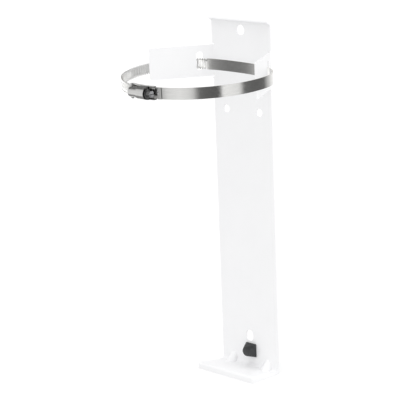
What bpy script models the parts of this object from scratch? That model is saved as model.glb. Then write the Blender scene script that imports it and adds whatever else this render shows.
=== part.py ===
"""Wall bracket for a gas cylinder: a folded sheet plate with a V cradle, a foot shelf and a
worm-drive strap threaded through the cradle.

Frame: +Z up, the wall is the plane Y = 0 and the cylinder stands in front of it, towards -Y.
The origin is the centre of the plate's back face. Pieces are modelled with Z measured from the
lower edge of the foot, and finish() lowers them to the origin. All sizes are in metres.
"""
import math

import bmesh
import bpy
import numpy as np
from mathutils import Matrix, Vector

# Folded sheet
SHEET = 0.002                  # sheet thickness of the bracket
BEND_INSIDE = 0.002            # inside radius of the small bends
FOOT_BEND_INSIDE = 0.0050      # inside radius where the plate turns into the shelf

# Plate: heights are above the lower edge of the foot
PLATE_TOP = 0.4572             # virtual corner between the plate and its top lip
PLATE_WIDTH = 0.100            # below the cradle
HEAD_EXTRA = 0.00125           # how far each side is wider from the cradle upwards
HEAD_BELOW_STRAP = 0.016       # step in width, below the middle of the strap
ORIGIN_HEIGHT = 0.230          # height of the origin above the lower edge of the foot

# Top lip
LIP_LENGTH = 0.0076
LIP_RISE = math.radians(31)    # above the horizontal

# Fixing holes
TOP_HOLE = 0.0135              # diameter
TOP_HOLE_BELOW_TOP = 0.0108
MIDDLE_HOLE = 0.0105
MIDDLE_HOLE_BELOW_TOP = 0.1141
MIDDLE_HOLE_SPACING = 0.0574
LOWER_SLOT_WIDTH = 0.012
LOWER_SLOT_HEIGHT = 0.015
LOWER_SLOT_CENTRE = 0.0428

# Cradle wings: each leans outwards from the plate's normal and ends just inside the strap
WING_SPLAY = math.radians(30.8)
WING_ROOT = 0.0493             # half distance between the virtual corners of the front faces
WING_FREE = 0.0018             # between a wing's end and the inside of the strap
WING_CORNER = 0.002            # corner radius
LEFT_WING = (-0.0130, 0.0277)  # lower and upper edge from the middle of the strap
RIGHT_WING = (-0.0205, 0.0246)
BEND_RELIEF = 0.0015           # notch in the plate above and below each wing
STRAP_SLOT_PLAY = 0.0028       # free play on each side of the strap in its slots
STRAP_SLOT_ABOVE = 0.0084      # free height above it
STRAP_SLOT_BELOW = 0.0013      # free height under it

# Foot: a shelf that rises to the front, with a turned-down rim cut level with its lower edge
SHELF_REACH = 0.0495           # plate's front face to the outside of the front rim
SHELF_TILT = math.radians(8)
RIM_HEIGHT = 0.0086            # top of the front rim
RIM_CORNER = 0.0028            # outer radius of the two front corners in plan
RIB_RADIUS = 0.0065            # pressed ribs across the foot bend
RIB_SPACING = 0.062
RIB_TOP = 0.0155               # where a rib runs out on the plate

# Rubber bumper
BUMPER_WIDTH = 0.0172
BUMPER_HEIGHT = 0.0176
BUMPER_CENTRE = 0.0240
BUMPER_OFFSET = 0.0028         # to the right of the middle
BUMPER_FLANGE = 0.0012
BUMPER_REACH = 0.0123
BUMPER_NOSE = 0.0065           # radius of the nose
BUMPER_DOME = 0.0016           # rise of its front
STEM = 0.0056                  # diameter of the stem in the plate

# Strap: a stainless band that runs once round, rightwards, and over its own start
BAND_WIDTH = 0.0143
BAND_THICKNESS = 0.0007
LOOP_RADIUS = 0.0970           # front half, middle of the band
LOOP_REAR = 0.0666             # from the loop's centre to the rear run
LOOP_SQUARENESS = 2.6          # exponent of the flattened rear half
REAR_RUN = 0.0091              # from the wall to the rear run
LOOP_CENTRE_Y = -REAR_RUN - LOOP_REAR
LOOP_BELOW_TOP = 0.0602        # the loop's centre below the plate's top
LOOP_DROOP = math.radians(2.9)
LOOP_LEAN = math.radians(0.95)
BAND_START = math.radians(-12) # start of the band under the buckle, left of the front
BAND_END = math.radians(17)    # end of its tail, right of the buckle
BAND_STEP = 0.0045             # length of one flat where the band is plain
SLOT_PITCH = 0.0034            # worm slots
SLOT_WIDTH = 0.0017
SLOT_LENGTH = 0.0086
SLOT_SLANT = math.radians(7)
SLOTTED_LENGTH = 0.279         # slotted part of the band, up to its tail
SLOTTED_END = 0.0060           # plain end of the tail

# Buckle: saddle, swivelling housing and worm screw
BUCKLE_SHEET = 0.0008
CHEEK_RISE = 0.0016            # saddle cheek above the band
SADDLE_HALF_LENGTH = 0.0195
PIN_PLACE = -0.0163            # along the band from the front
PIN_RISE = 0.0028              # pin axis above the band
PIN_RADIUS = 0.0012
PIN_HEAD = 0.0008
EAR_RADIUS = 0.0025
THREAD_RADIUS = 0.0048
THREAD_CORE = 0.0036
THREAD_PITCH = 0.0034
THREAD_START = -0.0118
THREAD_END = -0.0020
SHANK_RADIUS = 0.0022
TUNNEL_WALL = 0.0010
TUNNEL_START = -0.0140
BLOCK_START = -0.0008
BLOCK_END = 0.0128
HEAD_START_X = 0.0134
HEAD_LENGTH = 0.0076
HEAD_FLATS = 0.0080
HEAD_FLANGE_RADIUS = 0.0054
HEAD_FLANGE = 0.0012
DRIVE_SLOT = 0.0013

# Clearances
GAP = 0.0003                   # between touching pieces
PIN_GAP = 0.0003

ARC_STEP = math.radians(10)

PARTS = bpy.data.collections.new("gas_cylinder_bracket")


def clear_scene():
    for item in list(bpy.data.objects):
        bpy.data.objects.remove(item, do_unlink=True)
    bpy.context.scene.collection.children.link(PARTS)


def loop_height():
    """Middle of the strap at the loop's centre, above the lower edge of the foot."""
    return PLATE_TOP - LOOP_BELOW_TOP


def arc(centre, radius, start, end):
    """Points of an arc from angle start to end, both included."""
    count = max(2, math.ceil(abs(end - start) / ARC_STEP) + 1)
    turns = np.linspace(start, end, count)
    return [(centre[0] + radius * math.cos(a), centre[1] + radius * math.sin(a)) for a in turns]


def rounded_path(corners, radii):
    """Open path through corners, with each inner corner replaced by an arc of its radius."""
    path = [corners[0]]
    for before, corner, after, radius in zip(corners, corners[1:], corners[2:], radii):
        inward = (Vector(before) - Vector(corner)).normalized()
        outward = (Vector(after) - Vector(corner)).normalized()
        half = inward.angle(outward) / 2
        centre = Vector(corner) + (inward + outward).normalized() * radius / math.sin(half)
        reach = radius / math.tan(half)
        first = Vector(corner) + inward * reach - centre
        last = Vector(corner) + outward * reach - centre
        start = math.atan2(first.y, first.x)
        turn = math.atan2(first.cross(last), first.dot(last))
        path += arc(centre, radius, start, start + turn)
    path.append(corners[-1])
    return path


def sheet_outline(path, thickness):
    """Closed outline of a sheet of even thickness along its middle line."""
    points = [Vector(p) for p in path]
    left, right = [], []
    for i, point in enumerate(points):
        before = points[max(i - 1, 0)]
        after = points[min(i + 1, len(points) - 1)]
        ahead = (after - point).normalized() if i < len(points) - 1 else (point - before).normalized()
        behind = (point - before).normalized() if i > 0 else ahead
        middle = (ahead + behind).normalized()
        side = Vector((-middle.y, middle.x)) * (thickness / 2 / middle.dot(ahead))
        left.append(tuple(point + side))
        right.append(tuple(point - side))
    return left + right[::-1]


def add_mesh_object(name, mesh):
    item = bpy.data.objects.new(name, mesh)
    PARTS.objects.link(item)
    return item


def bake(item, name):
    """A mesh object made from what the viewport shows of item, which is removed."""
    graph = bpy.context.evaluated_depsgraph_get()
    mesh = bpy.data.meshes.new_from_object(item.evaluated_get(graph))
    place = item.matrix_world.copy()
    bpy.data.objects.remove(item, do_unlink=True)
    shape = bmesh.new()
    shape.from_mesh(mesh)
    bmesh.ops.remove_doubles(shape, verts=shape.verts, dist=1e-6)
    bmesh.ops.recalc_face_normals(shape, faces=shape.faces)
    bmesh.ops.transform(shape, matrix=place, verts=shape.verts)
    shape.to_mesh(mesh)
    shape.free()
    mesh.name = name
    return add_mesh_object(name, mesh)


def extruded(name, outlines, depth, matrix):
    """Solid from flat outlines in the local XY plane, the first one outside and the rest holes."""
    curve = bpy.data.curves.new(name, "CURVE")
    curve.dimensions = "2D"
    curve.fill_mode = "BOTH"
    curve.extrude = depth / 2
    for outline in outlines:
        spline = curve.splines.new("POLY")
        spline.points.add(len(outline) - 1)
        for point, (x, y) in zip(spline.points, outline):
            point.co = (x, y, 0, 1)
        spline.use_cyclic_u = True
    item = add_mesh_object(name + "_outline", curve)
    item.matrix_world = matrix
    bpy.context.view_layer.update()
    return bake(item, name)


def boolean(target, other, operation):
    """Joins other to target or cuts it away, and removes other."""
    step = target.modifiers.new("step", "BOOLEAN")
    step.operation = operation
    step.solver = "EXACT"
    step.object = other
    bpy.context.view_layer.update()
    graph = bpy.context.evaluated_depsgraph_get()
    mesh = bpy.data.meshes.new_from_object(target.evaluated_get(graph))
    old = target.data
    target.modifiers.clear()
    target.data = mesh
    bpy.data.meshes.remove(old)
    bpy.data.objects.remove(other, do_unlink=True)


def cylinder(name, radius, depth, matrix, segments=32):
    bpy.ops.mesh.primitive_cylinder_add(vertices=segments, radius=radius, depth=depth)
    item = bpy.context.object
    for group in list(item.users_collection):
        group.objects.unlink(item)
    PARTS.objects.link(item)
    item.name = name
    item.data.transform(matrix)
    return item


def tidy(item, distance=2e-6):
    """Closes seams left by the joins and turns the faces outwards."""
    shape = bmesh.new()
    shape.from_mesh(item.data)
    bmesh.ops.remove_doubles(shape, verts=shape.verts, dist=distance)
    bmesh.ops.dissolve_degenerate(shape, edges=shape.edges, dist=distance)
    bmesh.ops.recalc_face_normals(shape, faces=shape.faces)
    shape.to_mesh(item.data)
    shape.free()


def finish(item, material, smooth_below=35):
    item.data.transform(Matrix.Translation((0, 0, -ORIGIN_HEIGHT)))
    item.data.materials.clear()
    item.data.materials.append(material)
    item.data.shade_smooth()
    item.data.set_sharp_from_angle(angle=math.radians(smooth_below))


def paint(name, color, roughness, metallic):
    material = bpy.data.materials.new(name)
    material.use_nodes = True
    shader = material.node_tree.nodes["Principled BSDF"]
    shader.inputs["Base Color"].default_value = (*color, 1)
    shader.inputs["Roughness"].default_value = roughness
    shader.inputs["Metallic"].default_value = metallic
    material.diffuse_color = (*color, 1)
    return material


def side_view():
    """Maps outline (x, y) to world (Y, Z), with the extrusion along world X."""
    return Matrix(((0, 0, 1, 0), (1, 0, 0, 0), (0, 1, 0, 0), (0, 0, 0, 1)))


def front_view(y):
    """Maps outline (x, y) to world (X, Z) in the plane at depth y."""
    return Matrix(((1, 0, 0, 0), (0, 0, -1, y), (0, 1, 0, 0), (0, 0, 0, 1)))


def rectangle(low, high):
    return [(low[0], low[1]), (high[0], low[1]), (high[0], high[1]), (low[0], high[1])]


def circle(centre, radius):
    return arc(centre, radius, 0, 2 * math.pi)[:-1]


def obround(centre, width, tall):
    half = (tall - width) / 2
    top = arc((centre[0], centre[1] + half), width / 2, 0, math.pi)
    bottom = arc((centre[0], centre[1] - half), width / 2, math.pi, 2 * math.pi)
    return top + bottom


def plate_outline():
    """Front view of the flat plate, notched beside both wings."""
    lower = PLATE_WIDTH / 2
    upper = lower + HEAD_EXTRA
    notch = WING_ROOT - bend_setback()
    bottom = foot_tangent_height()
    top = PLATE_TOP - SHEET

    def edge(side, wing):
        low = loop_height() + wing[0] - BEND_RELIEF
        high = loop_height() + wing[1] + BEND_RELIEF
        step = loop_height() - HEAD_BELOW_STRAP
        points = [(lower, bottom)]
        if step < low:
            points += [(lower, step), (upper, step), (upper, low)]
        else:
            points += [(lower, low)]
        points += [(notch, low), (notch, high), (upper, high), (upper, top)]
        return [(side * x, z) for x, z in points]

    return edge(1, RIGHT_WING) + edge(-1, LEFT_WING)[::-1]


def bend_setback():
    """From the virtual corner of the front faces to the start of a wing's bend."""
    return BEND_INSIDE * math.tan((math.pi / 2 - WING_SPLAY) / 2)


def shelf_thickness():
    """Sheet thickness measured straight down through the tilted shelf."""
    return SHEET / math.cos(SHELF_TILT)


def shelf_top(y):
    """Height of the shelf's upper face at world Y, above the lower edge of the foot."""
    return RIM_HEIGHT - (SHEET + SHELF_REACH + y) * math.tan(SHELF_TILT)


def foot_tangent_height():
    """Where the bend of the foot runs out on the plate."""
    return shelf_top(-SHEET / 2) + FOOT_BEND_INSIDE


def box(name, low, high):
    bpy.ops.mesh.primitive_cube_add(size=1)
    item = bpy.context.object
    for group in list(item.users_collection):
        group.objects.unlink(item)
    PARTS.objects.link(item)
    item.name = name
    size = [b - a for a, b in zip(low, high)]
    middle = [(a + b) / 2 for a, b in zip(low, high)]
    item.data.transform(Matrix.Translation(middle) @ Matrix.Diagonal((*size, 1)))
    return item


def rounded_box(name, low, high, corner, edge):
    """Box with both front upright edges rounded, then its upper edges but the rear one."""
    item = box(name, low, high)
    shape = bmesh.new()
    shape.from_mesh(item.data)

    def edges(test):
        return [e for e in shape.edges if all(test(v.co) for v in e.verts)]

    upright = edges(lambda c: c.y < low[1] + corner / 2)
    upright = [e for e in upright if abs(e.verts[0].co.x - e.verts[1].co.x) < edge / 2
               and abs(e.verts[0].co.z - e.verts[1].co.z) > edge]
    bmesh.ops.bevel(shape, geom=upright, offset=corner, segments=6, affect="EDGES", profile=0.5)
    upper = edges(lambda c: c.z > high[2] - edge / 4)
    upper = [e for e in upper if e.calc_length() > 0
             and not all(v.co.y > high[1] - edge / 4 for v in e.verts)]
    bmesh.ops.bevel(shape, geom=upper, offset=edge, segments=4, affect="EDGES", profile=0.5)
    shape.to_mesh(item.data)
    shape.free()
    return item


def foot():
    """Shelf and turned-down rim, modelled level and then tilted so that the plate stays upright."""
    top = shelf_top(-SHEET / 2)
    under = top - shelf_thickness()
    deep = top - RIM_HEIGHT * 3
    half = PLATE_WIDTH / 2
    front = -SHEET - SHELF_REACH
    rear = -SHEET - FOOT_BEND_INSIDE - SHEET
    tray = rounded_box("tray", (-half, front, deep), (half, rear, top), RIM_CORNER, BEND_INSIDE + SHEET / 2)
    hollow = rounded_box("hollow", (SHEET - half, front + SHEET, deep - SHEET),
                         (half - SHEET, rear + SHEET, under), RIM_CORNER - SHEET, BEND_INSIDE / 2)
    boolean(tray, hollow, "DIFFERENCE")
    inner = arc((-SHEET - FOOT_BEND_INSIDE, top + FOOT_BEND_INSIDE), FOOT_BEND_INSIDE, -math.pi / 2, 0)
    outer = arc((-SHEET - FOOT_BEND_INSIDE, under + FOOT_BEND_INSIDE + SHEET),
                FOOT_BEND_INSIDE + SHEET, 0, -math.pi / 2)
    end = foot_tangent_height() + 2 * SHEET
    outline = [(rear - SHEET / 4, under), (rear - SHEET / 4, top)] + inner + [(-SHEET, end), (0, end)] + outer
    boolean(tray, extruded("bend", [outline], PLATE_WIDTH, side_view()), "UNION")
    shear = Matrix.Identity(4)
    shear[2][1] = -math.tan(SHELF_TILT)
    shear[2][3] = -math.tan(SHELF_TILT) * SHEET / 2
    tray.data.transform(shear)
    below = box("below", (-PLATE_WIDTH, 2 * front, -RIM_HEIGHT * 4),
                (PLATE_WIDTH, SHEET, 0))
    boolean(tray, below, "DIFFERENCE")
    return tray


def rib_matrix(side):
    """Axis of a pressed rib: in a plane across the bend, at 45 degrees between plate and shelf."""
    ridge = Vector((side * RIB_SPACING / 2, -SHEET, RIB_TOP))
    axis = Vector((0, -1, -1)).normalized()
    inwards = Vector((0, 1, -1)).normalized()
    turn = axis.to_track_quat("Z", "X").to_matrix().to_4x4()
    return Matrix.Translation(ridge + inwards * RIB_RADIUS) @ turn


def top_lip():
    corner = (-SHEET / 2, PLATE_TOP - SHEET / 2)
    tip = (corner[0] - LIP_LENGTH * math.cos(LIP_RISE), corner[1] + LIP_LENGTH * math.sin(LIP_RISE))
    foot = (-SHEET / 2, corner[1] - BEND_INSIDE - SHEET)
    outline = sheet_outline(rounded_path([foot, corner, tip], [BEND_INSIDE + SHEET / 2]), SHEET)
    return extruded("top_lip", [outline], PLATE_WIDTH + 2 * HEAD_EXTRA, side_view())


def wing_end():
    """X of the middle of a wing's sheet at its end, so that its outer corner stays in the strap."""
    inside = LOOP_RADIUS - (BAND_THICKNESS + GAP) / 2 - BAND_THICKNESS / 2
    return inside - WING_FREE - SHEET / 2 * math.cos(WING_SPLAY)


def wing(side, edges):
    """One cradle wing with its bend and a short root inside the plate."""
    root = WING_ROOT - bend_setback() - 2 * SHEET
    reach = Vector((math.sin(WING_SPLAY), -math.cos(WING_SPLAY)))
    setback = SHEET / 2 * math.tan((math.pi / 2 - WING_SPLAY) / 2)
    corner = Vector((WING_ROOT + setback, -SHEET / 2))
    tip = corner + reach * ((wing_end() - corner.x) / reach.x)
    outline = sheet_outline(
        rounded_path([(root, -SHEET / 2), tuple(corner), tuple(tip)], [BEND_INSIDE + SHEET / 2]), SHEET)
    outline = [(side * x, y) for x, y in outline]
    low, high = (loop_height() + edge for edge in edges)
    item = extruded("wing", [outline], high - low, Matrix.Translation((0, 0, (low + high) / 2)))
    shape = bmesh.new()
    shape.from_mesh(item.data)
    corners = []
    for e in shape.edges:
        middle = (e.verts[0].co + e.verts[1].co) / 2
        flat = abs(e.verts[0].co.z - e.verts[1].co.z) < 1e-6
        near_tip = (Vector((side * middle.x, middle.y)) - tip).length < SHEET
        if flat and near_tip and e.calc_length() < SHEET * 1.1:
            corners.append(e)
    bmesh.ops.bevel(shape, geom=corners, offset=WING_CORNER, segments=4, affect="EDGES", profile=0.5)
    shape.to_mesh(item.data)
    shape.free()
    return item


def strap_crossing(side):
    """Where the middle of the strap crosses the middle of a wing's sheet, and the angle there."""
    frame = loop_frame()
    reach = Vector((math.sin(WING_SPLAY), -math.cos(WING_SPLAY)))
    across = Vector((reach.y, -reach.x))
    root = Vector((WING_ROOT, -SHEET)) - across * (SHEET / 2)
    places = []
    for turn in np.linspace(0.65 * math.pi, math.pi, 2001):
        x, y = loop_point(side * turn)
        places.append(frame @ Vector((x, y, 0)))
    away = [abs((Vector((side * place.x, place.y)) - root).dot(across)) for place in places]
    nearest = max(1, min(len(places) - 2, int(np.argmin(away))))
    ahead = places[nearest + 1] - places[nearest - 1]
    return places[nearest], Vector((side * ahead.x, ahead.y)).angle(-reach)


def strap_slot_cutter(side):
    """Cutter for the slot that lets the strap through a wing with room on all sides."""
    place, angle = strap_crossing(side)
    width = SHEET / math.tan(angle) + BAND_THICKNESS / math.sin(angle) + 2 * STRAP_SLOT_PLAY
    low = place.z - BAND_WIDTH / 2 - STRAP_SLOT_BELOW
    high = place.z + BAND_WIDTH / 2 + STRAP_SLOT_ABOVE
    normal = Vector((side * math.cos(WING_SPLAY), math.sin(WING_SPLAY), 0))
    along = Vector((-normal.y, normal.x, 0)) * -side
    turn = Matrix((along, Vector((0, 0, 1)), along.cross((0, 0, 1)))).transposed().to_4x4()
    centre = Vector((place.x, place.y, (low + high) / 2))
    outline = obround((0, 0), width, high - low)
    return extruded("slot_cutter", [outline], SHEET * 5, Matrix.Translation(centre) @ turn)


def build_bracket(material):
    middle = PLATE_TOP - MIDDLE_HOLE_BELOW_TOP
    top_hole = circle((0, PLATE_TOP - TOP_HOLE_BELOW_TOP), TOP_HOLE / 2)
    holes = [
        circle((-MIDDLE_HOLE_SPACING / 2, middle), MIDDLE_HOLE / 2),
        circle((MIDDLE_HOLE_SPACING / 2, middle), MIDDLE_HOLE / 2),
        obround((0, LOWER_SLOT_CENTRE), LOWER_SLOT_WIDTH, LOWER_SLOT_HEIGHT),
        circle((BUMPER_OFFSET, BUMPER_CENTRE), STEM / 2 + GAP),
    ]
    bracket = extruded("bracket", [plate_outline()] + holes, SHEET, front_view(-SHEET / 2))
    boolean(bracket, foot(), "UNION")
    boolean(bracket, top_lip(), "UNION")
    boolean(bracket, extruded("top_hole", [top_hole], SHEET * 4, front_view(-SHEET / 2)), "DIFFERENCE")
    for side, edges in ((1, RIGHT_WING), (-1, LEFT_WING)):
        boolean(bracket, wing(side, edges), "UNION")
    for side in (1, -1):
        rib = cylinder("rib", RIB_RADIUS, RIB_TOP * 2.6, rib_matrix(side))
        trim_rib(rib)
        boolean(bracket, rib, "UNION")
        hollow = cylinder("hollow", RIB_RADIUS - SHEET, RIB_TOP * 2.6, rib_matrix(side))
        boolean(bracket, hollow, "DIFFERENCE")
        boolean(bracket, strap_slot_cutter(side), "DIFFERENCE")
    tidy(bracket)
    finish(bracket, material)
    return bracket


def trim_rib(rib):
    """Keeps the part of a rib that stands inside the corner of plate and shelf."""
    size = RIB_TOP * 2
    middle = -SHEET / 2
    corner = shelf_top(middle) - shelf_thickness() / 2
    keep = [
        (middle, corner),
        (middle, corner + size),
        (middle - size, corner + size),
        (middle - size, corner + size * math.tan(SHELF_TILT)),
    ]
    boolean(rib, extruded("keep", [keep], PLATE_WIDTH, side_view()), "INTERSECT")


def build_bumper(material):
    """Square flange on the plate that draws in to a round nose, with a stem in the plate."""
    shape = bmesh.new()
    middle = BUMPER_CENTRE
    back = -SHEET - GAP
    front = -SHEET - BUMPER_REACH
    for y in (back, back - BUMPER_FLANGE):
        for x in (-1, 1):
            for z in (-1, 1):
                shape.verts.new((x * BUMPER_WIDTH / 2, y, middle + z * BUMPER_HEIGHT / 2))
    rings = 5
    for ring in range(rings):
        slant = math.pi / 2 * ring / rings
        radius = BUMPER_NOSE * math.cos(slant)
        y = front + BUMPER_DOME * (1 - math.sin(slant))
        for i in range(24):
            turn = 2 * math.pi * i / 24
            shape.verts.new((radius * math.cos(turn), y, middle + radius * math.sin(turn)))
    shape.verts.new((0, front, middle))
    bmesh.ops.convex_hull(shape, input=shape.verts)
    mesh = bpy.data.meshes.new("rubber_bumper")
    shape.to_mesh(mesh)
    shape.free()
    mesh.transform(Matrix.Translation((BUMPER_OFFSET, 0, 0)))
    bumper = add_mesh_object("rubber_bumper", mesh)
    length = SHEET + BUMPER_FLANGE / 2
    turn = Matrix.Rotation(math.pi / 2, 4, "X")
    place = Matrix.Translation((BUMPER_OFFSET, -GAP - length / 2, middle))
    stem = cylinder("stem", STEM / 2, length, place @ turn, 24)
    boolean(bumper, stem, "UNION")
    tidy(bumper)
    finish(bumper, material, 50)
    return bumper


def loop_frame():
    """Strap frame: origin at the loop's centre, X right, Y to the wall, Z across the band."""
    place = Matrix.Translation((0, LOOP_CENTRE_Y, loop_height()))
    return place @ Matrix.Rotation(LOOP_DROOP, 4, "X") @ Matrix.Rotation(LOOP_LEAN, 4, "Y")


def loop_point(turn):
    """Middle of the loop at an angle measured at its centre from the front, right positive."""
    turn = (turn + math.pi) % (2 * math.pi) - math.pi
    if abs(turn) <= math.pi / 2:
        return np.array((math.sin(turn), -math.cos(turn))) * LOOP_RADIUS
    side = math.copysign(1, turn)
    rise = abs(turn) - math.pi / 2
    power = 2 / LOOP_SQUARENESS
    return np.array((side * LOOP_RADIUS * math.cos(rise) ** power, LOOP_REAR * math.sin(rise) ** power))


def spiral():
    """Arc lengths, middle points and outward normals of the band, from its start to its tail.

    The band is a spiral: after one turn it lies one thickness and one gap outside its start.
    """
    turns = np.linspace(BAND_START, BAND_END + 2 * math.pi, 4001)
    points = np.array([loop_point(t) for t in turns])
    steps = np.linalg.norm(np.diff(points, axis=0), axis=1)
    length = np.concatenate(([0], np.cumsum(steps)))
    one_turn = np.interp(BAND_START + 2 * math.pi, turns, length)
    ahead = np.gradient(points, axis=0)
    ahead /= np.linalg.norm(ahead, axis=1)[:, None]
    outward = np.stack((ahead[:, 1], -ahead[:, 0]), 1)
    if outward[0] @ points[0] < 0:
        outward = -outward
    offset = (BAND_THICKNESS + GAP) * (length / one_turn - 0.5)
    return length, points + outward * offset[:, None]


def flat_cell(name, length, holes):
    """One flat piece of the band, length along X and the band's width along Y."""
    outline = rectangle((0, -BAND_WIDTH / 2), (length, BAND_WIDTH / 2))
    curve = bpy.data.curves.new(name, "CURVE")
    curve.dimensions = "2D"
    curve.fill_mode = "BOTH"
    for points in [outline] + holes:
        spline = curve.splines.new("POLY")
        spline.points.add(len(points) - 1)
        for point, (x, y) in zip(spline.points, points):
            point.co = (x, y, 0, 1)
        spline.use_cyclic_u = True
    return bake(add_mesh_object(name + "_outline", curve), name)


def repeat(item, count, step):
    """Repeats a flat cell along X and joins the copies at their edges."""
    row = item.modifiers.new("row", "ARRAY")
    row.count = count
    row.use_relative_offset = False
    row.use_constant_offset = True
    row.constant_offset_displace = (step, 0, 0)
    row.use_merge_vertices = True
    row.merge_threshold = 0.00001
    bpy.context.view_layer.update()
    return bake(item, item.name + "_row")


def worm_slot():
    """Slanted slot in the middle of a cell."""
    half = (SLOT_LENGTH - SLOT_WIDTH) / 2
    top = [(SLOT_WIDTH / 2 * math.cos(a), half + SLOT_WIDTH / 2 * math.sin(a)) for a in (0, math.pi / 2, math.pi)]
    points = top + [(-x, -y) for x, y in top]
    turn = Matrix.Rotation(-SLOT_SLANT, 2)
    points = [turn @ Vector(p) for p in points]
    return [(SLOT_PITCH / 2 + p.x, p.y) for p in points]


def build_band(material, frame):
    """A flat strip, plain and then slotted, wrapped round the spiral and thickened by Solidify."""
    length, points = spiral()
    slots = round(SLOTTED_LENGTH / SLOT_PITCH)
    plain = length[-1] - SLOTTED_END - slots * SLOT_PITCH
    flats = round(plain / BAND_STEP)
    strips = [
        (repeat(flat_cell("plain", plain / flats, []), flats, plain / flats), 0),
        (repeat(flat_cell("slotted", SLOT_PITCH, [worm_slot()]), slots, SLOT_PITCH), plain),
        (flat_cell("tail", SLOTTED_END, []), length[-1] - SLOTTED_END),
    ]
    shape = bmesh.new()
    for strip, start in strips:
        strip.data.transform(Matrix.Translation((start, 0, 0)))
        shape.from_mesh(strip.data)
        bpy.data.objects.remove(strip, do_unlink=True)
    bmesh.ops.remove_doubles(shape, verts=shape.verts, dist=0.00001)
    for vert in shape.verts:
        x, y = (np.interp(vert.co.x, length, points[:, i]) for i in (0, 1))
        vert.co = (x, y, vert.co.y)
    bmesh.ops.recalc_face_normals(shape, faces=shape.faces)
    bmesh.ops.transform(shape, matrix=frame, verts=shape.verts)
    mesh = bpy.data.meshes.new("strap_band")
    shape.to_mesh(mesh)
    shape.free()
    item = add_mesh_object("strap_band", mesh)
    thick = item.modifiers.new("thickness", "SOLIDIFY")
    thick.thickness = BAND_THICKNESS
    thick.offset = 0
    bpy.context.view_layer.update()
    band = bake(item, "strap_band")
    finish(band, material)
    return band


def band_outside():
    """Outer radius of the tail layer at the front of the loop."""
    return LOOP_RADIUS + (BAND_THICKNESS + GAP) / 2 + BAND_THICKNESS / 2


def saddle_inside():
    return LOOP_RADIUS - (BAND_THICKNESS + GAP) / 2 - BAND_THICKNESS / 2 - GAP - BUCKLE_SHEET


def pin_centre():
    """Pin axis in the strap frame's XY plane."""
    outside = band_outside()
    return PIN_PLACE, -math.sqrt(outside ** 2 - PIN_PLACE ** 2) - PIN_RISE


def front_arc(radius, start, end):
    """Arc about the loop's centre between two distances along the front, left negative."""
    first = -math.pi / 2 + math.asin(start / radius)
    last = -math.pi / 2 + math.asin(end / radius)
    count = 13
    return [(radius * math.cos(a), radius * math.sin(a)) for a in np.linspace(first, last, count)]


def build_saddle(material, frame):
    """Curved base under both layers, with a cheek at each edge and two ears for the pin."""
    inside = saddle_inside()
    half = SADDLE_HALF_LENGTH
    pin = pin_centre()
    hole = circle(pin, PIN_RADIUS + PIN_GAP)
    cheek = front_arc(band_outside() + CHEEK_RISE, PIN_PLACE + EAR_RADIUS, half)
    cheek += front_arc(inside, half, -half)
    lobe = arc(pin, EAR_RADIUS, -math.pi, 0)
    cheek += [(min(-half, lobe[0][0]), lobe[0][1])] + lobe[1:]
    width = BAND_WIDTH + 2 * GAP
    saddle = extruded("saddle", [cheek, hole], width + 2 * BUCKLE_SHEET, Matrix.Identity(4))
    beyond = half + 3 * EAR_RADIUS
    channel = front_arc(inside + BUCKLE_SHEET, -beyond, beyond)
    channel += [(beyond, -2 * inside), (-beyond, -2 * inside)]
    boolean(saddle, extruded("channel", [channel], width, Matrix.Identity(4)), "DIFFERENCE")
    saddle.data.transform(frame)
    tidy(saddle)
    finish(saddle, material)
    return saddle


def along_x():
    """Turns a primitive's Z axis to X."""
    return Matrix.Rotation(math.pi / 2, 4, "Y")


def screw_axis_y():
    return -(band_outside() + GAP + THREAD_RADIUS)


def across_view(x):
    """Outline (x, y) to the strap frame's (Z, -Y) at a place along X: y grows outwards."""
    return Matrix(((0, 0, 1, x), (0, -1, 0, 0), (1, 0, 0, 0), (0, 0, 0, 1)))


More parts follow.
